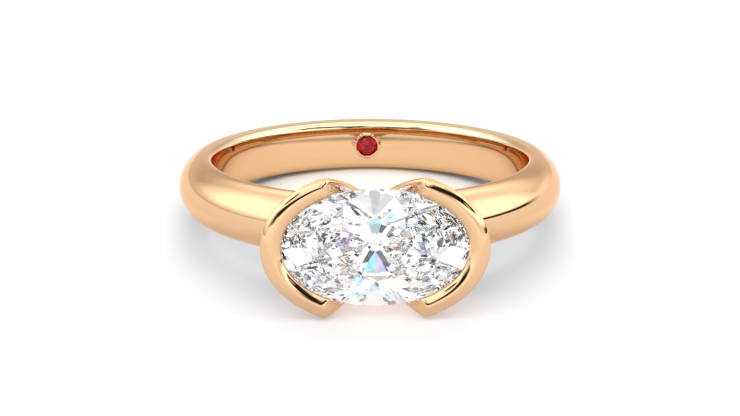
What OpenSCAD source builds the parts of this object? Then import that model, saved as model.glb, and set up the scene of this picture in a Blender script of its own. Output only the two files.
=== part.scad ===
// Oval engagement ring: a domed, tapering band with two half-bezel walls that hold an oval
// brilliant set east-west, and a small round stone set flush in the inner face at the back.
//
// The ring is worked out about its finger axis, along Z, with the head towards -Y and the
// main stone lying along X. It is then tipped about X onto the floor, z = 0, where it lies on
// the two lower corners of the bezel and on the back of the band.

/* [Finger bore] */
// Diameter of the finger bore
bore_d = 16.5; // [15.5:0.1:17.5]
// Half the height of the bore's straight middle
bore_straight = 0.3; // [0.2:0.05:0.5]
// Radius of the comfort curve that eases the bore towards both edges
comfort_r = 6; // [5:0.5:8]

/* [Band] */
// Width of the band at the back
back_w = 2.65; // [2.4:0.05:2.9]
// Width of the band at the head, which is also the width of its round dome
front_w = 3.2; // [3.1:0.05:3.4]
// Thickness of the band on its middle line
band_t = 1.85; // [1.75:0.05:1.95]
// Radius of the long arc that narrows the band towards the back
taper_r = 200; // [150:10:260]

/* [Head] */
// Height of the main stone's girdle above the finger axis
girdle_at = 12.6; // [12.5:0.05:13]
// Width of the rim, from its lip on the stone to its outer edge
rim_w = 1.13; // [1:0.01:1.2]
// Height of the rim's dome above its two edges
rim_dome = 0.26; // [0.18:0.02:0.32]
// Height of the rim's edges above the girdle
lip_rise = 0.16; // [0.16:0.01:0.22]
// How far the lip covers the girdle
lip_cover = 0.07; // [0.04:0.01:0.08]
// Half length of the head where its root enters the band
root_x = 4.5; // [4.2:0.1:4.6]
// Half width of the head where its root enters the band
root_z = 1.3; // [1.2:0.05:1.35]
// Half width, on the rim's crest, of the opening between the two walls
gap_half = 2.45; // [2.35:0.05:2.6]
// How far the opening reaches down from the rim's crest, to the band
gap_depth = 2.95; // [2.9:0.05:3.1]
// How much the opening's sides curve in towards its foot, where 1 is straight
gap_curve = 1.4; // [1.2:0.05:1.5]

/* [Main stone] */
// Length of the stone at its girdle
stone_l = 9.2; // [9:0.1:9.6]
// Width of the stone at its girdle
stone_w = 5.9; // [5.7:0.1:6.2]
// Height of the crown, from girdle to table
crown_h = 0.86; // [0.7:0.02:0.96]
// Depth of the pavilion, from girdle to keel
pavilion_h = 2.33; // [2.15:0.03:2.33]
// Half length of the tiny keel that the pavilion ends in
keel_half = 0.1; // [0.04:0.02:0.2]
// Size of the table as a share of the stone's
table_share = 0.5; // [0.48:0.01:0.56]
// Size at which the crown's star facets end, as a share of the stone's
star_share = 0.87; // [0.84:0.01:0.88]
// Depth at which the pavilion's upper facets end, as a share of its depth
upper_depth = 0.52; // [0.48:0.01:0.56]
// Size of the pavilion there, as a share of the stone's
upper_share = 0.484; // [0.46:0.004:0.5]
// Depth at which the pavilion's middle facets end, as a share of its depth
middle_depth = 0.836; // [0.82:0.004:0.86]
// Size of the pavilion there, as a share of the stone's
middle_share = 0.146; // [0.13:0.004:0.17]

/* [Inner stone] */
// Diameter of the small round stone
inner_d = 1.08; // [0.9:0.02:1.2]
// Width of the bright collar round it
collar_w = 0.11; // [0.08:0.01:0.16]
// How far the collar stands above the bore
collar_rise = 0.03; // [0.02:0.01:0.05]

/* [Hidden] */

// Gap between a stone and its seat
fit_gap = 0.03;
// Thickness of the main stone's girdle
girdle_t = 0.14;
// Height above the finger axis at which the head's root is measured, inside the band
root_at = 8.75;
// Half gap between the two walls' feet, down at the band
foot_half = 0.4;
// How deep the seat follows the main stone's pavilion, and its gap at that depth
seat_depth = 0.9;
seat_gap = 0.12;
// Inner half length and half width of the walls where they leave the band
cup_x = 2.4;
cup_z = 1;
// Steps along a wall, and degrees between the levels of the rim's dome
wall_steps = 28;
dome_step = 25;
// Sides of a stone's girdle
girdle_sides = 64;
// Crown, girdle and pavilion of the inner stone as shares of its diameter
inner_crown = 0.16;
inner_girdle = 0.04;
inner_pavilion = 0.43;
// Table and stars of the inner stone, and where its lower facets end, as shares
inner_table = 0.56;
inner_star = 0.78;
inner_depth = 0.76;
inner_share = 0.26;
// The facets round the main stone's keel begin at this share of its depth, and at this size
tip_depth = 0.94;
tip_share = 0.09;
// How far the inner stone's table lies below the bore
inner_sink = 0.02;
eps = 0.01;

bore_r = bore_d / 2;
band_r = bore_r + band_t;
dome_r = front_w / 2;
dome_at = band_r - dome_r;
half_l = stone_l / 2;
half_w = stone_w / 2;
// Size of the main stone at the depth that its seat is given for, as a share
seat_share = 1 - seat_depth / pavilion_h * (1 - upper_share) / upper_depth;
// Inner half sizes of the walls at that depth, and at the girdle
seat_x = half_l * seat_share + seat_gap;
seat_z = half_w * seat_share + seat_gap;
ledge_x = half_l + fit_gap;
ledge_z = half_w + fit_gap;
girdle_top = girdle_at + girdle_t / 2;
girdle_foot = girdle_at - girdle_t / 2;
edge_at = girdle_at + lip_rise;
crest_at = edge_at + rim_dome;
// The rim's outer edge and its middle, as offsets from the girdle
rim_out = rim_w - lip_cover;
rim_mid = rim_out - rim_w / 2;

// Where the narrowed side of the band meets its dome at the back
corner_r = dome_at + sqrt(dome_r ^ 2 - (back_w / 2) ^ 2);
// Where a wall's cut end meets the rim's outer edge
corner_x = cut_x(edge_at);
corner_z = (half_w + rim_out) * sqrt(1 - (corner_x / (half_l + rim_out)) ^ 2);
// The ring is tipped until both corners are level
rest_tip = atan((corner_z - back_w / 2) / (corner_r + edge_at));
rest_lift = corner_z * cos(rest_tip) - edge_at * sin(rest_tip);
// It is then shifted along Y until it lies centred on the origin
back_y = dome_at * cos(rest_tip) + dome_r;
front_y = -(girdle_top + crown_h) * cos(rest_tip) - half_w * table_share * sin(rest_tip);
rest_shift = -(back_y + front_y) / 2;

// The head's half-bezel walls, level by level from the root to the rim's crest. Each row is
// [height, outer half length, outer half width, inner half length, inner half width].
levels = concat(
    [
        wall_level(root_at, 2.2, 0.6),
        wall_level(band_r, cup_x, cup_z),
        wall_level((band_r + girdle_foot - seat_depth) / 2, (cup_x + seat_x) / 2, (cup_z + seat_z) / 2),
        wall_level(girdle_foot - seat_depth, seat_x, seat_z),
        wall_level(girdle_foot - seat_depth / 2, (seat_x + ledge_x) / 2, (seat_z + ledge_z) / 2),
        wall_level(girdle_foot, ledge_x, ledge_z),
        wall_level(girdle_top + fit_gap, ledge_x, ledge_z)
    ],
    [
        for (angle = [0:dome_step:89])
            let (half = rim_w / 2 * cos(angle))
            [
                edge_at + rim_dome * sin(angle),
                half_l + rim_mid + half,
                half_w + rim_mid + half,
                half_l + rim_mid - half,
                half_w + rim_mid - half
            ]
    ]
);

// A level of the wall proper, whose outer face runs straight from the root to the rim's edge
function wall_level(height, inner_x, inner_z) =
    let (share = (height - root_at) / (edge_at - root_at))
    [
        height,
        root_x + (half_l + rim_out - root_x) * share,
        root_z + (half_w + rim_out - root_z) * share,
        inner_x,
        inner_z
    ];

// Distance of a wall's cut end from the middle of the head, at a height
function cut_x(height) =
    let (share = max(0, 1 - (crest_at - height) / gap_depth))
    foot_half + (gap_half - foot_half) * share ^ gap_curve;

// One line along a wall: the part of an oval, at a height, that lies beyond the cut
function rail(half_x, half_z, height) =
    let (end = acos(cut_x(height) / half_x))
    [
        for (i = [0:wall_steps])
            let (angle = end * (1 - 2 * i / wall_steps))
            [half_x * cos(angle), -height, half_z * sin(angle)]
    ];

// Tips the ring, drawn about its finger axis, onto the floor
module resting() {
    translate([0, rest_shift, rest_lift])
        rotate([-rest_tip, 0, 0])
            children();
}

// Section of the band: a half-round dome on a straight back, with the comfort curves taken off
module band_section() {
    reach = 2 * front_w;
    difference() {
        union() {
            translate([dome_at, 0])
                circle(r = dome_r, $fn = 48);
            translate([bore_r, -dome_r])
                square([dome_at - bore_r, front_w]);
        }
        translate([0, -reach / 2])
            square([bore_r, reach]);
        for (side = [0, 1])
            mirror([0, side])
                difference() {
                    translate([0, bore_straight])
                        square([bore_r + comfort_r, comfort_r]);
                    translate([bore_r + comfort_r, bore_straight])
                        circle(r = comfort_r, $fn = 48);
                }
    }
}

// The band: its section turned round the finger, then narrowed to the back by two long arcs
module band() {
    difference() {
        rotate_extrude($fn = 120)
            band_section();
        for (side = [-1, 1])
            translate([0, corner_r, side * (back_w / 2 + taper_r)])
                rotate([0, 90, 0])
                    cylinder(r = taper_r, h = 3 * band_r, center = true, $fn = 360);
    }
}

// One half-bezel wall: lines along it at every level, up the outer face and down the inner
module wall() {
    count = len(levels);
    stations = wall_steps + 1;
    lines = concat(
        [for (row = levels) rail(row[1], row[2], row[0])],
        [for (i = [count - 1:-1:0]) rail(levels[i][3], levels[i][4], levels[i][0])]
    );
    total = 2 * count;
    far_end = stations - 1;
    polyhedron(
        points = [for (line = lines, point = line) point],
        faces = concat(
            [
                for (j = [0:total - 1], i = [0:stations - 2])
                    let (k = (j + 1) % total)
                    [j * stations + i, j * stations + i + 1, k * stations + i + 1, k * stations + i]
            ],
            [
                for (j = [0:count - 2], end = [0, far_end])
                    let (
                        outer = j * stations + end,
                        inner = (total - 1 - j) * stations + end,
                        cap = [outer, outer + stations, inner - stations, inner]
                    )
                    end == 0 ? cap : [cap[3], cap[2], cap[1], cap[0]]
            ]
        ),
        convexity = 6
    );
}

// The raised collar round the inner stone, standing out of the bore at the back
module collar() {
    translate([0, bore_r - collar_rise, 0])
        rotate([-90, 0, 0])
            cylinder(d = inner_d + 2 * (fit_gap + collar_w), h = band_t / 2, $fn = 48);
}

// The inner stone's seat: a straight hole for its crown and girdle, a cone for its pavilion
module inner_seat() {
    hole_r = inner_d / 2 + fit_gap;
    hole_h = collar_rise + inner_sink + inner_d * (inner_crown + inner_girdle);
    cone_h = inner_d * inner_pavilion + fit_gap;
    translate([0, bore_r - collar_rise, 0])
        rotate([-90, 0, 0]) {
            translate([0, 0, -eps])
                cylinder(r = hole_r, h = hole_h + eps, $fn = 48);
            translate([0, 0, hole_h - eps])
                cylinder(r1 = hole_r, r2 = fit_gap, h = cone_h + eps, $fn = 48);
        }
}

// A brilliant cut: girdle round the origin, table up. Its crown has eight mains between eight
// stars, and halves along the girdle. Its pavilion goes down to the keel by rows of facets that
// meet at eight corners, each row given as [depth, size, turn], the first two as shares. The
// facets run out past the girdle, and a prism of the girdle's outline trims them all.
module brilliant(length, width, girdle, crown, pavilion, table, star, keel, rows) {
    // The facets run out to this share of the outline before the prism trims them
    over = 1 / cos(11.25);
    half_x = length / 2;
    half_y = width / 2;
    crown_slope = crown / (1 - table);
    pavilion_slope = pavilion * rows[0][0] / (1 - rows[0][1]);

    function spot(share, angle, height) =
        [half_x * share * cos(angle), half_y * share * sin(angle), height];

    eighths = [0:7];
    points = concat(
        [for (k = eighths) spot(table, 45 * k, girdle / 2 + crown)],
        [for (k = eighths) spot(star, 45 * k + 22.5, girdle / 2 + crown_slope * (1 - star * cos(22.5)))],
        [for (k = [0:15]) spot(over, 22.5 * k, girdle / 2 + (1 - over) * crown_slope)],
        [for (k = [0:15]) spot(over, 22.5 * k, -girdle / 2 - (1 - over) * pavilion_slope)],
        [for (row = rows, k = eighths) spot(row[1], 45 * k + row[2], -girdle / 2 - pavilion * row[0])],
        [for (side = [-1, 1]) [side * keel, 0, -girdle / 2 - pavilion]]
    );
    intersection() {
        hull()
            polyhedron(points = points, faces = [[for (i = [0:len(points) - 1]) i]]);
        linear_extrude(height = 4 * (crown + pavilion), center = true)
            polygon([for (i = [0:girdle_sides - 1]) let (angle = 360 * i / girdle_sides)
                [half_x * cos(angle), half_y * sin(angle)]]);
    }
}

// The band and the two half-bezel walls, cast as one piece
module ring_body() {
    color("#e9b98a")
        resting()
            difference() {
                union() {
                    band();
                    for (side = [0, 1])
                        mirror([side, 0, 0])
                            wall();
                    collar();
                }
                inner_seat();
            }
}

// The main stone, lying along X with its table outwards
module oval_diamond() {
    color("#dce6f2")
        resting()
            translate([0, -girdle_at, 0])
                rotate([90, 0, 0])
                    brilliant(
                        stone_l, stone_w, girdle_t, crown_h, pavilion_h, table_share, star_share,
                        keel_half, [
                            [upper_depth, upper_share, 22.5],
                            [middle_depth, middle_share, 22.5],
                            [tip_depth, tip_share, 0]
                        ]
                    );
}

// The small round stone, its table towards the finger
module inner_ruby() {
    inner_at = bore_r + inner_sink + inner_d * (inner_crown + inner_girdle / 2);
    color("#b3122e")
        resting()
            translate([0, inner_at, 0])
                rotate([90, 0, 0])
                    brilliant(
                        inner_d, inner_d, inner_d * inner_girdle, inner_d * inner_crown,
                        inner_d * inner_pavilion, inner_table, inner_star, 0,
                        [[inner_depth, inner_share, 22.5]]
                    );
}

ring_body();
oval_diamond();
inner_ruby();
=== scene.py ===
"""Dresses the oval engagement ring: its cast metal, its two stones, the floor and the light.

The part's sizes are repeated below under its own names, in millimetres. The ring is worked out
about its finger axis, with the head towards -Y, and is then tipped onto the floor.
"""
import math

import bpy
import numpy as np
from mathutils import Matrix


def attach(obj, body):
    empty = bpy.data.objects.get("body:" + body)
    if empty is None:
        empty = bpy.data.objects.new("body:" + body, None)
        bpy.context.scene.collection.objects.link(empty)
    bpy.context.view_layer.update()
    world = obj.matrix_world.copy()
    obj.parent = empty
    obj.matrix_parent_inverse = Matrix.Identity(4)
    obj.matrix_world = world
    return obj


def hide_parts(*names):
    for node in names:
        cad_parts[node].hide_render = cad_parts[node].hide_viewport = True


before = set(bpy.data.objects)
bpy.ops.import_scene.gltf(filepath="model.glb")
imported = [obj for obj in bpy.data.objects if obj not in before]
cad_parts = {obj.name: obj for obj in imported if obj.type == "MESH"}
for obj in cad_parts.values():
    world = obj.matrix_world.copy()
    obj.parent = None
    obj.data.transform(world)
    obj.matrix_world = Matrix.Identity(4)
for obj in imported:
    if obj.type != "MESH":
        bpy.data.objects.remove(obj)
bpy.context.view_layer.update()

MM = 0.001

# Band
bore_r = 8.25
bore_straight = 0.3
comfort_r = 6.0
back_w = 2.65
front_w = 3.2
band_r = 10.1
taper_r = 200.0
dome_r = front_w / 2
dome_at = band_r - dome_r
corner_r = dome_at + math.sqrt(dome_r ** 2 - (back_w / 2) ** 2)

# Head
girdle_at = 12.6
rim_w = 1.13
rim_dome = 0.26
lip_rise = 0.16
lip_cover = 0.07
root_x = 4.5
root_z = 1.3
root_at = 8.75
gap_half = 2.45
gap_depth = 2.95
gap_curve = 1.4
foot_half = 0.4

# Main stone
half_l = 4.6
half_w = 2.95
girdle_t = 0.14
crown_h = 0.86
pavilion_h = 2.33
table_share = 0.5
upper_depth = 0.52
upper_share = 0.484
fit_gap = 0.03

# Inner stone
inner_d = 1.08
inner_crown = 0.16
inner_girdle = 0.04
inner_pavilion = 0.43
inner_sink = 0.02
collar_w = 0.11
collar_rise = 0.03

# Seat of the main stone: the half sizes inside the walls, from their root up past the band and
# the seat part-way down the pavilion to the ledge round the girdle
seat_depth = 0.9
seat_gap = 0.12
seat_share = 1 - seat_depth / pavilion_h * (1 - upper_share) / upper_depth
hollow_x = 2.2
hollow_z = 0.6
cup_x = 2.4
cup_z = 1.0
seat_x = half_l * seat_share + seat_gap
seat_z = half_w * seat_share + seat_gap
ledge_x = half_l + fit_gap
ledge_z = half_w + fit_gap
girdle_top = girdle_at + girdle_t / 2
girdle_foot = girdle_at - girdle_t / 2
seat_at = girdle_foot - seat_depth

# Rim: the height of its edges and crest, and its outer edge and middle as offsets from the girdle
edge_at = girdle_at + lip_rise
crest_at = edge_at + rim_dome
rim_out = rim_w - lip_cover
rim_mid = rim_out - rim_w / 2

# How far the metal's surfaces are rounded where they meet
flank_round = 0.12
bore_round = 0.3
end_round = 0.45
lip_round = 0.06
rim_round = 0.14
head_round = 0.7
collar_round = 0.08
foot_round = 0.05
hole_round = 0.03
bore_edge_round = 0.02

# The ring's own axes
across_ring = (1, 0, 0)
to_head = (0, -1, 0)
finger_axis = (0, 0, 1)

# How the ring lies: tipped until the bezel's lower corners and the back of the band are level
corner_x = foot_half + (gap_half - foot_half) * (1 - rim_dome / gap_depth) ** gap_curve
corner_z = (half_w + rim_out) * math.sqrt(1 - (corner_x / (half_l + rim_out)) ** 2)
rest_tip = math.atan((corner_z - back_w / 2) / (corner_r + edge_at))
rest_lift = corner_z * math.cos(rest_tip) - edge_at * math.sin(rest_tip)
back_y = dome_at * math.cos(rest_tip) + dome_r
front_y = -(girdle_top + crown_h) * math.cos(rest_tip) - half_w * table_share * math.sin(rest_tip)
rest_shift = -(back_y + front_y) / 2
to_floor = np.array(Matrix.Translation((0, rest_shift, rest_lift))
                    @ Matrix.Rotation(-rest_tip, 4, "X"))


def laid(points):
    """Points about the finger axis, in millimetres, as places on the floor, in metres."""
    return (points @ to_floor[:3, :3].T + to_floor[:3, 3]) * MM


def turned(vectors):
    """Directions about the finger axis, turned as the ring is."""
    return vectors @ to_floor[:3, :3].T


# Materials: a small wrapper, so that shader maths reads as Python

class Wire:
    """A socket of a shader tree. An expression on it adds its Math nodes."""

    def __init__(self, tree, socket):
        self.tree = tree
        self.socket = socket

    def __add__(self, other):
        return self.tree.maths("ADD", self, other)

    def __radd__(self, other):
        return self.tree.maths("ADD", other, self)

    def __sub__(self, other):
        return self.tree.maths("SUBTRACT", self, other)

    def __rsub__(self, other):
        return self.tree.maths("SUBTRACT", other, self)

    def __mul__(self, other):
        return self.tree.maths("MULTIPLY", self, other)

    def __rmul__(self, other):
        return self.tree.maths("MULTIPLY", other, self)

    def __truediv__(self, other):
        return self.tree.maths("DIVIDE", self, other)

    def __rtruediv__(self, other):
        return self.tree.maths("DIVIDE", other, self)

    def __pow__(self, other):
        return self.tree.maths("POWER", self, other)

    def __lt__(self, other):
        return self.tree.maths("LESS_THAN", self, other)

    def __gt__(self, other):
        return self.tree.maths("GREATER_THAN", self, other)


class Tree:
    """The nodes of one material or of the world."""

    def __init__(self, owner):
        owner.use_nodes = True
        self.nodes = owner.node_tree.nodes
        self.links = owner.node_tree.links
        self.nodes.clear()

    def add(self, kind, settings=None, values=None, out=0):
        """A node of one type. Its settings come first, then its sockets' values or links.
        Returns the wire of one output."""
        node = self.nodes.new(kind)
        for name, value in (settings or {}).items():
            if name == "interpolation":
                node.color_ramp.interpolation = value
            elif name == "stops":
                ramp = node.color_ramp.elements
                ramp.remove(ramp[1])
                ramp[0].position, ramp[0].color = value[0]
                for place, colour in value[1:]:
                    ramp.new(place).color = colour
            else:
                setattr(node, name, value)
        for name, value in (values or {}).items():
            socket = node.inputs[name]
            if isinstance(value, Wire):
                self.links.new(value.socket, socket)
            else:
                socket.default_value = value
        return Wire(self, node.outputs[out]) if node.outputs else None

    def maths(self, operation, *values):
        """A Math node on numbers or wires."""
        return self.add("ShaderNodeMath", {"operation": operation}, dict(enumerate(values)))

    def vectors(self, operation, first, second=None, out="Vector"):
        """A Vector Math node on one or two vectors or wires."""
        values = {0: first} if second is None else {0: first, 1: second}
        return self.add("ShaderNodeVectorMath", {"operation": operation}, values, out)

    def place(self):
        """The place on the piece, from its Object coordinates."""
        return self.add("ShaderNodeTexCoord", out="Object")

    def along(self, axis):
        """How far the place on the piece lies from the middle of the finger bore along one of
        the ring's own axes, in millimetres."""
        way = turned(np.array([axis]))[0] / MM
        start = float(to_floor[:3, 3] @ way) * MM
        return self.vectors("DOT_PRODUCT", self.place(), way.tolist(), "Value") - start

    def noise(self, scale, detail=2.0, roughness=0.5):
        """Cloudy noise over the piece, at so many waves to the metre."""
        return self.add("ShaderNodeTexNoise", None,
                        {"Vector": self.place(), "Scale": scale, "Detail": detail,
                         "Roughness": roughness}, out="Fac")

    def share(self, value, start, stop):
        """How far a value is on its way from start to stop, kept between 0 and 1."""
        return self.add("ShaderNodeMapRange", None,
                        {"Value": value, "From Min": start, "From Max": stop})

    def blend(self, share, low, high):
        """A colour between two, by a share from 0 to 1."""
        return self.add("ShaderNodeMix", {"data_type": "RGBA"},
                        {"Factor": share, "A": low, "B": high}, out="Result")

    def surface(self, sockets):
        """The Principled shader with some of its sockets set, as the material's surface."""
        self.finish(self.add("ShaderNodeBsdfPrincipled", None, sockets, out="BSDF"))

    def finish(self, shader, kind="ShaderNodeOutputMaterial"):
        self.add(kind, None, {"Surface": shader})


def grey(value):
    return (value, value, value, 1.0)


def seat_mask(tree, across, height, side):
    """1 in the seat under the main stone and 0 elsewhere. The lower part lies inside a wide oval
    cone, whose half sizes at one height are given and grow by a share of themselves with each
    millimetre. The top part lies inside the cup itself and a small margin, whose half sizes
    grow from the seat's to the ledge's."""
    cone_at = 11.2
    cone_x = 4.2
    cone_z = 2.55
    cone_growth = 0.25
    cone_foot = 9.0
    cone_top = 12.2
    cup_margin = 0.05
    cup_top = 12.66

    def oval(half_x, half_z):
        wide = across / half_x
        deep = side / half_z
        return wide * wide + deep * deep

    cone = oval(cone_x, cone_z) ** 0.5 - (height - cone_at) * cone_growth
    low_part = (cone < 1.0) * (height > cone_foot) * (height < cone_top)
    up = tree.share(height, seat_at, girdle_foot)
    cup = oval(up * (ledge_x - seat_x) + (seat_x + cup_margin),
               up * (ledge_z - seat_z) + (seat_z + cup_margin))
    top_part = (cup < 1.0) * (height > seat_at) * (height < cup_top)
    return tree.maths("MAXIMUM", low_part, top_part)


def polished_gold():
    """Polished rose-yellow gold: a mirror whose polish and tone drift a little over the piece,
    with fine polishing marks that only just break its reflections. Light is painted into it in
    three places. It is paler on the outer underside of the band, a painted reflection of a floor
    lighter than the shaded one below it. It is a paler yellow on the upper rim round the back,
    a painted highlight. It is near white in the seat under the main stone, painted light that
    the stone shows in place of the shaded gold there."""
    rose = (0.715, 0.455, 0.258, 1.0)
    light_rose = (0.745, 0.48, 0.275, 1.0)
    painted_reflection_rose = (0.93, 0.595, 0.34, 1.0)
    painted_highlight_yellow = (0.76, 0.62, 0.40, 1.0)
    edge_tint = (1.0, 0.82, 0.70, 1.0)

    material = bpy.data.materials.new("polished_gold")
    tree = Tree(material)
    drift = tree.noise(160.0)
    marks = tree.noise(5200.0, detail=3.0, roughness=0.6)
    colour = tree.blend(drift, rose, light_rose)

    across = tree.along(across_ring)
    height = tree.along(to_head)
    side = tree.along(finger_axis)
    # Painted reflection: the outer underside of the band is paler, as if it mirrored a lighter
    # floor than the shaded one beneath it
    outside_bore = tree.share((across * across + height * height) ** 0.5, 8.7, 9.3)
    underneath = tree.share(side, -0.1, -1.1)
    short_of_head = tree.share(height, 9.5, 7.5)
    colour = tree.blend(outside_bore * underneath * short_of_head, colour, painted_reflection_rose)
    # Painted highlight: the upper rim round the back is a paler yellow, as if its reflection were
    # brighter than white
    upper_rim = tree.share(side, 0.7, 1.1)
    round_back = tree.share(height, -1.0, -5.0)
    colour = tree.blend(upper_rim * round_back, colour, painted_highlight_yellow)
    # Painted light: the seat under the main stone is near white, so the stone shows light there in
    # place of the shaded gold
    colour = tree.blend(seat_mask(tree, across, height, side), colour, grey(0.98))

    polish = marks * 0.02 + drift * 0.02 + 0.025
    bump = tree.add("ShaderNodeBump", None,
                    {"Strength": 0.02, "Distance": 0.00001, "Height": marks}, out="Normal")
    tree.surface({"Base Color": colour, "Metallic": 1.0, "Roughness": polish,
                  "Specular Tint": edge_tint, "Normal": bump})
    return material


def clear_stone():
    """The main stone: colourless and strongly refracting. The middle of its crown is painted here
    and there with faint spectral colours, in straight-edged patches a little over half a
    millimetre across, painted glints that stand in for flashes of fire. Its pavilion is a shade
    cool, which takes the gold's warmth out of what shows through it."""
    flash_half = 2.5
    clear = (0.868, 0.865, 0.865, 1.0)
    cool = (0.85, 0.90, 0.95, 1.0)
    lilac = (0.40, 0.38, 0.72, 1.0)
    blue = (0.32, 0.60, 0.78, 1.0)
    yellow = (0.82, 0.78, 0.40, 1.0)
    orange = (0.82, 0.50, 0.32, 1.0)

    material = bpy.data.materials.new("clear_diamond")
    tree = Tree(material)
    across = tree.along(across_ring)
    height = tree.along(to_head)
    # Painted glints: patches of faint spectral colour on the middle of the crown stand in for the
    # stone's flashes of fire
    patches = tree.add("ShaderNodeTexVoronoi", None, {"Vector": tree.place(), "Scale": 1500.0},
                       out="Color")
    pick = tree.add("ShaderNodeSeparateColor", None, {0: patches}, out="Red")
    pick = pick * (across * across < flash_half ** 2)
    stops = [(0.0, clear), (0.82, lilac), (0.87, blue), (0.9, clear), (0.93, yellow),
             (0.945, orange), (0.96, clear)]
    crown = tree.add("ShaderNodeValToRGB", {"stops": stops, "interpolation": "CONSTANT"}, {0: pick})
    tree.surface({"Base Color": tree.blend(height < girdle_at, crown, cool), "Roughness": 0.0,
                  "IOR": 2.6, "Specular Tint": grey(0.45), "Transmission Weight": 1.0})
    return material


def red_stone():
    """The inner stone: a deep crimson, clouded a little from place to place."""
    crimson = (0.60, 0.013, 0.03, 1.0)
    dark_crimson = (0.30, 0.005, 0.015, 1.0)

    material = bpy.data.materials.new("red_ruby")
    tree = Tree(material)
    colour = tree.blend(tree.noise(2400.0), crimson, dark_crimson)
    tree.surface({"Base Color": colour, "Roughness": 0.0, "IOR": 1.77,
                  "Specular Tint": grey(0.35), "Transmission Weight": 1.0})
    return material


def white_floor():
    """A matt white sheet with the faintest unevenness, a little lighter ahead of the ring. Pools
    of light lie on it, where the metal and the stone throw light down. Each falls off as e to
    the minus of a power of the distance from its middle, counted in its half sizes."""
    material = bpy.data.materials.new("white_floor")
    tree = Tree(material)
    colour = tree.blend(tree.noise(6.0), grey(0.78), grey(0.80))
    depth = tree.add("ShaderNodeSeparateXYZ", None, {0: tree.place()}, out="Y")
    ahead_of_ring = tree.share(depth, -0.025, -0.045)
    colour = tree.blend(ahead_of_ring, colour, grey(0.91))

    def pool(x, y, half_x, half_y, power):
        offset = tree.vectors("SUBTRACT", tree.place(), (x * MM, y * MM, 0.0))
        scaled = tree.vectors("DIVIDE", offset, (half_x * MM, half_y * MM, 1.0))
        distance = tree.vectors("LENGTH", scaled, out="Value")
        return tree.maths("EXPONENT", distance ** power * -1)

    # Two pools inside the band, one under the main stone's pavilion and one on either side of the
    # band: middle and half sizes in millimetres, power and colour
    bore_y = rest_shift + 1.8
    stone_y = rest_shift - (girdle_at - 1) * math.cos(rest_tip)
    glow = (0.0, 0.0, 0.0, 1.0)
    for x, y, half_x, half_y, power, light in (
            (0.0, bore_y, 7.0, 7.0, 12.0, (0.38, 0.25, 0.13, 1.0)),
            (0.0, bore_y, 4.6, 4.6, 6.0, (0.17, 0.11, 0.055, 1.0)),
            (0.3, stone_y, 4.4, 2.3, 2.0, (0.74, 0.59, 0.53, 1.0)),
            (-11.8, 1.2, 2.4, 4.5, 2.0, (0.15, 0.14, 0.13, 1.0)),
            (11.8, 1.2, 2.4, 4.5, 2.0, (0.21, 0.20, 0.19, 1.0))):
        glow = tree.blend(pool(x, y, half_x, half_y, power), glow, light)
    tree.surface({"Base Color": colour, "Roughness": 0.8, "Specular IOR Level": 0.0,
                  "Emission Color": glow, "Emission Strength": 1.0})
    return material


# The metal's shape: a field that is below zero inside the casting, in millimetres, at places
# given across the ring, out towards the head, and along the finger axis

def soft_min(a, b, reach):
    """The smaller of two fields, rounded where they differ by less than the reach."""
    share = np.clip(reach - np.abs(a - b), 0, None) / reach
    return np.minimum(a, b) - share * share * reach / 4


def soft_max(a, b, reach):
    """The larger of two fields, rounded in the same way."""
    return -soft_min(-a, -b, reach)


def oval_cone(x, z, half_x, half_z, grow_x, grow_z):
    """Distance outside an elliptical cone whose half sizes at this height are given, together
    with how fast they grow with height: the oval's size ratio less one, over its gradient.
    Two tiny numbers keep it from dividing by nothing on the middle line."""
    ratio = np.sqrt((x / half_x) ** 2 + (z / half_z) ** 2) + 1e-9
    along_x = x / half_x ** 2
    along_z = z / half_z ** 2
    along_h = -(x * along_x * grow_x / half_x + z * along_z * grow_z / half_z)
    return (ratio - 1) * ratio / np.sqrt(along_x ** 2 + along_z ** 2 + along_h ** 2 + 1e-12)


def band_field(x, h, z):
    """The band: a half-round dome, two long side arcs and the comfort curve, each a distance to
    a circle, and the largest of the three rounded where they meet."""
    r = np.hypot(x, h)
    side = np.abs(z)
    dome = np.hypot(np.maximum(r - dome_at, 0), side) - dome_r
    flank = taper_r - np.hypot(-h - corner_r, side - back_w / 2 - taper_r)
    inner = (np.hypot(np.maximum(bore_r + comfort_r - r, 0), np.maximum(side - bore_straight, 0))
             - comfort_r)
    return soft_max(soft_max(dome, flank, flank_round), inner, bore_round)


# The inner side of the walls, by rows of height, half length and half width. The first and the
# last row carry the sizes straight on.
cup_heights, cup_half_l, cup_half_w = np.array([
    (root_at - 2, hollow_x, hollow_z),
    (root_at, hollow_x, hollow_z),
    (band_r, cup_x, cup_z),
    (seat_at, seat_x, seat_z),
    (girdle_foot, ledge_x, ledge_z),
    (girdle_top + fit_gap, ledge_x, ledge_z),
    (edge_at, half_l - lip_cover, half_w - lip_cover),
    (edge_at + 1, half_l - lip_cover, half_w - lip_cover)]).T


def growth_at(sizes, height):
    """How fast the cup's half length or half width grows with height, looked up by height."""
    growth = np.diff(sizes) / np.diff(cup_heights)
    return growth[np.clip(np.searchsorted(cup_heights, height) - 1, 0, len(growth) - 1)]


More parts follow.
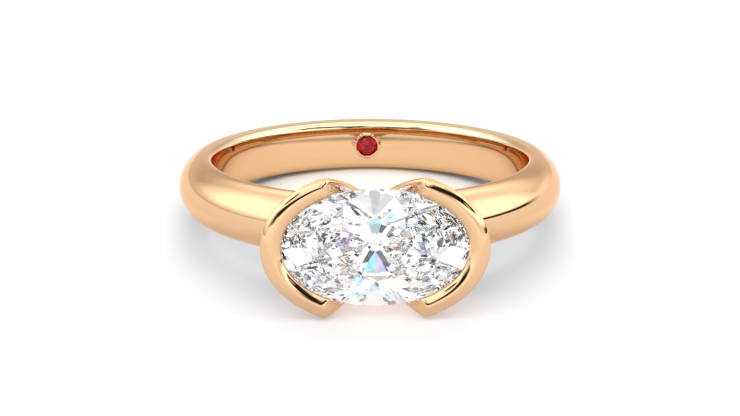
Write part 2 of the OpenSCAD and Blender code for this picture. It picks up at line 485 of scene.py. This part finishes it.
def wall_field(x, h, z):
    """The two half-bezel walls: outside the cup, inside the outer cone, under the rim's dome,
    and beyond the cut at each end, whose distance from the middle is a power of height."""
    x = np.abs(x)
    grow_x = (half_l + rim_out - root_x) / (edge_at - root_at)
    grow_z = (half_w + rim_out - root_z) / (edge_at - root_at)
    rise = np.clip(h, root_at, edge_at) - root_at
    flare = rise > 0
    outer = oval_cone(x, z, root_x + grow_x * rise, root_z + grow_z * rise,
                      grow_x * flare, grow_z * flare)
    inner = -oval_cone(x, z, np.interp(h, cup_heights, cup_half_l),
                       np.interp(h, cup_heights, cup_half_w),
                       growth_at(cup_half_l, h), growth_at(cup_half_w, h))
    # The dome is a flat arc across the rim, taken over the distance from the girdle's outline
    across = (oval_cone(x, z, half_l, half_w, 0.0, 0.0) - rim_mid) / (rim_w / 2)
    steep = 2 * rim_dome / (rim_w / 2) * across
    dome = (h - edge_at - rim_dome * (1 - across ** 2)) / np.sqrt(1 + steep ** 2)
    share = np.clip(1 - (crest_at - h) / gap_depth, 0, None)
    lean = (gap_half - foot_half) * gap_curve / gap_depth * share ** (gap_curve - 1)
    cut = (foot_half + (gap_half - foot_half) * share ** gap_curve - x) / np.sqrt(1 + lean ** 2)
    # The cut runs round into the wall's outer side, and meets its rim and its inner side crisply
    side = soft_max(outer, cut, end_round)
    wall = soft_max(soft_max(side, inner, lip_round), dome, rim_round)
    # The foot ends inside the band
    foot_at = root_at - 1.2
    return soft_max(wall, foot_at - h, foot_round)


def hole_field(x, h, z):
    """What is taken away for the inner stone: a straight hole and a cone below it."""
    out = np.hypot(x, z)
    hole_r = inner_d / 2 + fit_gap
    cone_at = bore_r + inner_sink + inner_d * (inner_crown + inner_girdle)
    cone_h = inner_d * inner_pavilion + fit_gap
    # The distance square to the cone's slanted side is about this share of the level one
    slant = 0.7
    beyond = -h - cone_at
    wall = np.where(beyond < 0, out - hole_r, (out - hole_r + beyond * hole_r / cone_h) * slant)
    return np.maximum(wall, bore_r - 1 + h)


def metal_field(x, h, z):
    """The whole casting: band and walls run into each other with a soft fillet, the collar
    stands out of the bore at the back, and the inner stone's seat is taken away."""
    body = soft_min(band_field(x, h, z), wall_field(x, h, z), head_round)
    # The fillet never reaches into the finger bore
    body = soft_max(body, bore_r - np.hypot(x, h), bore_edge_round)
    collar_r = inner_d / 2 + fit_gap + collar_w
    collar_foot = bore_r + 0.6
    collar = np.maximum(np.hypot(x, z) - collar_r, bore_r - collar_rise + h)
    collar = np.maximum(collar, -h - collar_foot)
    body = soft_min(body, collar, collar_round)
    return soft_max(body, -hole_field(x, h, z), hole_round)


def spaced(*runs):
    """Grid lines along one axis, from (start, stop, step) runs laid end to end. A line less than
    a quarter step short of its run's stop is left out."""
    lines = [np.arange(start, stop - step * 0.25, step) for start, stop, step in runs]
    return np.concatenate(lines)


def cylinder_point(angle, r, z):
    """A grid point in ring coordinates: angle from the head, distance from the finger axis."""
    return r * np.sin(angle), r * np.cos(angle), z


def crossed_edges(values, lines, axis):
    """The grid edges along one axis that the surface crosses: where each one starts in the grid,
    its crossing, by a straight line between its two values, and whether it starts inside."""
    low = [slice(None)] * 3
    high = [slice(None)] * 3
    low[axis] = slice(0, -1)
    high[axis] = slice(1, None)
    first, second = values[tuple(low)], values[tuple(high)]
    crossed = (first < 0) != (second < 0)
    index = np.argwhere(crossed)
    share = first[crossed] / (first[crossed] - second[crossed])
    spot = np.stack([lines[a][index[:, a]] for a in range(3)], axis=1)
    spot[:, axis] += share * np.diff(lines[axis])[index[:, axis]]
    return index, spot, first[crossed] < 0


def in_grid(cell, cells):
    """Which rows of cell numbers lie in a grid of so many cells."""
    return np.all((cell >= 0) & (cell < np.array(cells)), axis=1)


def tally(total, count, cell, spot):
    """Adds crossings to the running sums of the cells that they belong to."""
    good = in_grid(cell, count.shape)
    flat = np.ravel_multi_index(cell[good].T, count.shape)
    for a in range(3):
        total[..., a] += np.bincount(flat, spot[good, a], count.size).reshape(count.shape)
    count += np.bincount(flat, minlength=count.size).reshape(count.shape)


def cell_points(edges, cells):
    """One point for each grid cell that the surface passes through, the mean of the crossings on
    its edges, and the number of each cell's point."""
    total = np.zeros(cells + (3,))
    count = np.zeros(cells, int)
    for axis, (index, spot, _) in enumerate(edges):
        first, second = [a for a in range(3) if a != axis]
        for back_first, back_second in ((0, 0), (0, 1), (1, 0), (1, 1)):
            cell = index.copy()
            cell[:, first] -= back_first
            cell[:, second] -= back_second
            tally(total, count, cell, spot)
            # A cell before the first row of angles is one of the last row, a whole turn on
            if axis != 0:
                before = cell[:, 0] == -1
                last_row, a_turn_on = cell[before], spot[before]
                last_row[:, 0] = cells[0] - 1
                a_turn_on[:, 0] += 2 * math.pi
                tally(total, count, last_row, a_turn_on)
    used = count > 0
    number = np.full(cells, -1)
    number[used] = np.arange(used.sum())
    return total[used] / count[used][:, None], number


def edge_quads(edges, number):
    """One quad for each crossed grid edge, between the points of the four cells round it."""
    cells = number.shape
    quads = []
    for axis, (index, _, starts_inside) in enumerate(edges):
        # The closing row of angles is the first one once more
        keep = index[:, 0] < cells[0]
        index, starts_inside = index[keep], starts_inside[keep]
        first, second = (axis + 1) % 3, (axis + 2) % 3
        four = []
        for back_first, back_second in ((0, 0), (1, 0), (1, 1), (0, 1)):
            cell = index.copy()
            cell[:, first] -= back_first
            cell[:, second] -= back_second
            cell[:, 0] %= cells[0]
            four.append(cell)
        good = np.all([in_grid(cell, cells) for cell in four], axis=0)
        quad = np.stack([number[tuple(cell[good].T)] for cell in four], axis=1)
        flip = ~starts_inside[good]
        quad[flip] = quad[flip][:, ::-1]
        quads.append(quad)
    return np.concatenate(quads)


def skin(field, angles, radii, heights):
    """The surface where a field is zero, on a grid of angle, radius and height that closes on
    itself in angle: a point for each cell that it passes through and a quad for each grid edge
    that it crosses. The points are then moved along the field's gradient onto the surface, by
    the value over the gradient's square. Returns points, quads and gradients."""
    values = field(*cylinder_point(*np.meshgrid(angles, radii, heights, indexing="ij")))
    values = np.append(values, values[:1], axis=0)
    lines = [np.append(angles, angles[0] + 2 * math.pi), radii, heights]
    edges = [crossed_edges(values, lines, axis) for axis in range(3)]
    centre, number = cell_points(edges, tuple(n - 1 for n in values.shape))
    quads = edge_quads(edges, number)
    points = np.stack(cylinder_point(centre[:, 0], centre[:, 1], centre[:, 2]), axis=1)
    rounds = 4
    flattest = 0.05
    longest = 0.05
    for _ in range(rounds):
        value, slope = sloped(field, points)
        size = np.maximum((slope ** 2).sum(axis=1), flattest)
        move = -(value / size)[:, None] * slope
        points = points + np.clip(move, -longest, longest)
    return points, quads, sloped(field, points)[1]


def sloped(field, points, step=0.002):
    """A field's value and gradient at points, by central differences."""
    value = field(points[:, 0], points[:, 1], points[:, 2])
    slope = np.empty_like(points)
    for axis in range(3):
        shift = np.zeros(3)
        shift[axis] = step
        ahead, behind = points + shift, points - shift
        slope[:, axis] = (field(ahead[:, 0], ahead[:, 1], ahead[:, 2])
                          - field(behind[:, 0], behind[:, 1], behind[:, 2])) / (2 * step)
    return value, slope


def mesh_object(name, points, faces, material, normals=None):
    """A mesh object from an array of points, in metres, and a list of faces. It is smooth where
    it is given normals."""
    mesh = bpy.data.meshes.new(name)
    mesh.from_pydata(points.tolist(), [], faces)
    mesh.validate()
    if normals is not None:
        mesh.polygons.foreach_set("use_smooth", np.ones(len(mesh.polygons), bool))
        mesh.normals_split_custom_set_from_vertices(normals.tolist())
    mesh.materials.append(material)
    mesh.update()
    obj = bpy.data.objects.new(name, mesh)
    bpy.context.scene.collection.objects.link(obj)
    return obj


def ring_skin(material):
    """The cast metal: the skin of its field, finest round the head and the inner stone."""
    deg = math.pi / 180
    coarser = 1.0
    step = 0.081 * coarser
    head_step = 0.36 * deg * coarser
    side_step = 1.0 * deg * coarser
    back_step = 0.5 * deg
    back = 180 * deg
    stone_side = 175.5 * deg
    head_side = 33 * deg
    angles = spaced((-back, -stone_side, back_step), (-stone_side, -head_side, side_step),
                    (-head_side, head_side, head_step), (head_side, stone_side, side_step),
                    (stone_side, back, back_step))
    # The grid reaches from inside the collar to beyond the rim's outer corners
    innermost = 8.03
    outermost = 14.4
    highest = 4.13
    radii = spaced((innermost, outermost, step))
    heights = spaced((-highest, highest, step))
    points, faces, slope = skin(metal_field, angles, radii, heights)
    # Height above the finger axis runs against Y, which also turns the faces round
    flip = np.array([1, -1, 1])
    normals = slope * flip
    normals /= np.linalg.norm(normals, axis=1)[:, None]
    return mesh_object("cast_ring", laid(points * flip), faces[:, ::-1].tolist(), material,
                       turned(normals))


def studio_world():
    """The studio as the polished metal sees it. Each of its eight skies is a brightness by height
    above the horizon, and going round the ring each sky fades into the next one. Small round
    cards hang in front of them."""
    world = bpy.data.worlds.new("studio")
    bpy.context.scene.world = world
    tree = Tree(world)
    # The brightness that a ramp's white stands for
    full = 2.5
    way = tree.add("ShaderNodeTexCoord", out="Generated")
    x, y, height = [tree.add("ShaderNodeSeparateXYZ", None, {0: way}, out=axis) for axis in "XYZ"]
    # Direction round the ring: 0 and 1 at the back, 0.5 towards the camera, 0.75 to the right
    round_ring = tree.maths("ARCTAN2", x, y * -1) * (0.5 / math.pi) + 0.5

    def ramp(value, stops):
        return tree.add("ShaderNodeValToRGB", {"stops": [(at, grey(v)) for at, v in stops]},
                        {0: value})

    def sky(*stops):
        """Brightness by height: pairs of degrees above the horizon and brightness."""
        return ramp(height, [(math.sin(math.radians(rise)), v / full) for rise, v in stops])

    high_back = sky((0, 0.95), (8, 0.85), (17, 0.7), (24, 0.8), (32, 1.5), (40, 2.0), (60, 2.0),
                    (75, 1.4), (90, 1.25))
    back = sky((0, 0.95), (8, 0.85), (17, 0.7), (24, 0.78), (32, 1.05), (42, 1.3), (60, 1.3),
               (90, 1.25))
    left = sky((0, 0.75), (3, 0.95), (9, 1.5), (16, 2.2), (48, 2.3), (60, 1.6), (90, 1.25))
    # The dark dips of the front skies draw the black strokes on the rim and below the shoulder
    front_left = sky((0, 1.9), (6, 1.6), (8, 0.03), (19, 0.03), (21.5, 1.6), (29, 1.8), (40, 2.1),
                     (58, 1.8), (90, 1.25))
    front_right = sky((0, 1.15), (5, 1.2), (7.5, 1.5), (9.5, 1.7), (11, 0.02), (29, 0.02),
                      (32, 1.5), (40, 2.1), (55, 1.7), (90, 1.25))
    far_right = sky((0, 1.1), (7, 1.3), (9.5, 2.2), (16.5, 2.4), (19, 0.02), (35, 0.02),
                    (38, 1.2), (44, 2.0), (55, 1.7), (90, 1.25))
    right = sky((0, 0.03), (4.7, 0.04), (6.2, 1.1), (8, 2.0), (16, 2.3), (45, 2.2), (58, 1.3),
                (90, 1.2))
    back_right = sky((0, 1.3), (8, 1.45), (15, 1.05), (24, 1.25), (32, 1.45), (45, 1.4), (60, 1.3),
                     (90, 1.25))

    # Going round from the back: where each sky starts to take over, and where it has done so
    total = high_back
    for sector, start, stop in ((back, 0.04, 0.08), (left, 0.105, 0.19),
                                (front_left, 0.33, 0.39), (front_right, 0.49, 0.51),
                                (far_right, 0.545, 0.57), (right, 0.655, 0.68),
                                (back_right, 0.79, 0.84), (high_back, 0.88, 0.93)):
        total = tree.blend(ramp(round_ring, [(start, 0), (stop, 1)]), total, sector)

    # The cards: turns round the ring, degrees above the horizon, half size in degrees, colour
    soft_edge = 1.5
    for turn, rise, reach, colour in (
            (0.391, 31.0, 5.0, grey(0.03)),
            (0.418, 7.0, 2.0, grey(0.32)),
            (0.48, 10.0, 2.0, grey(0.24)),
            (0.503, 15.5, 4.0, grey(0.26)),
            (0.527, 10.0, 2.0, grey(0.26)),
            (0.59, 7.0, 2.5, grey(0.36)),
            (0.623, 23.0, 2.5, grey(0.34)),
            (0.633, 40.0, 4.0, grey(0.26)),
            (0.539, 30.0, 4.0, (0.16, 0.42, 0.62, 1.0)),
            (0.469, 31.0, 4.0, (0.30, 0.27, 0.62, 1.0))):
        around, up = 2 * math.pi * (turn - 0.5), math.radians(rise)
        middle = (math.sin(around) * math.cos(up), -math.cos(around) * math.cos(up), math.sin(up))
        near = tree.vectors("DOT_PRODUCT", way, middle, "Value")
        inside = tree.share(near, math.cos(math.radians(reach + soft_edge)),
                            math.cos(math.radians(reach)))
        total = tree.blend(inside, total, colour)
    background = tree.add("ShaderNodeBackground", None, {"Color": total, "Strength": full})
    tree.finish(background, "ShaderNodeOutputWorld")


def studio_floor(material):
    """A wide round sheet on which the ring lies: rings of points about the origin, at a few
    radii in metres, round a hub."""
    spokes = 64
    reach = np.array([0.02, 0.1, 0.5, 2.0, 6.0])
    turns = np.linspace(0, 2 * math.pi, spokes, endpoint=False)
    grid_r, grid_a = np.meshgrid(reach, turns, indexing="ij")
    points = np.stack([grid_r * np.cos(grid_a), grid_r * np.sin(grid_a), 0 * grid_r], axis=-1)
    points = np.vstack([[[0, 0, 0]], points.reshape(-1, 3)])
    here = 1 + np.arange(spokes)
    after = 1 + (np.arange(spokes) + 1) % spokes
    hub = np.stack([0 * here, here, after], axis=1)
    rings = [np.stack([here, here + spokes, after + spokes, after], axis=1) + k * spokes
             for k in range(len(reach) - 1)]
    faces = np.concatenate(rings).tolist() + hub.tolist()
    sheet = mesh_object("studio_floor", points, faces, material)


def product_camera():
    """The camera, at the angle to the ring that the picture has: 15 degrees above the plane of
    the band and a little to the left, looking past the ring's centre by a small rise."""
    distance = 150.0
    tilt = math.radians(15.0)
    yaw = math.radians(1.17)
    rise = 1.34
    pixels_per_mm = 18.85
    picture_w = 740
    sensor_w = 36
    level = np.array([math.sin(yaw), math.cos(yaw), 0.0])
    upright = np.array([0.0, 0.0, 1.0])
    ahead = level * math.cos(tilt) - upright * math.sin(tilt)
    up = level * math.sin(tilt) + upright * math.cos(tilt)
    right = np.cross(ahead, up)
    spot = laid((-distance * ahead - rise * up)[None, :])[0]
    ahead, up, right = turned(np.stack([ahead, up, right]))
    camera = bpy.data.cameras.new("product_camera")
    camera.sensor_width = sensor_w
    camera.lens = pixels_per_mm * distance / picture_w * sensor_w
    camera.clip_start = 0.01
    camera.clip_end = 20
    obj = bpy.data.objects.new("product_camera", camera)
    basis = np.stack([right, up, -ahead], axis=1)
    obj.matrix_world = Matrix.Translation(spot) @ Matrix(basis.tolist()).to_4x4()
    bpy.context.scene.collection.objects.link(obj)
    bpy.context.scene.camera = obj


def deep_light():
    """Light is followed through many turns, because a cut stone throws it back from facet to
    facet a good dozen times before it comes out."""
    turns = 24
    paths = bpy.context.scene.cycles
    paths.max_bounces = turns
    paths.glossy_bounces = turns
    paths.transmission_bounces = turns
    paths.caustics_reflective = False


product_camera()
deep_light()
studio_world()
studio_floor(white_floor())
bpy.context.scene.view_settings.view_transform = "Standard"

ring = ring_skin(polished_gold())
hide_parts("ring_body")
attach(ring, "root")

stones = {"oval_diamond": clear_stone(), "inner_ruby": red_stone()}
for node, material in stones.items():
    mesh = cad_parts[node].data
    mesh.materials.clear()
    mesh.materials.append(material)
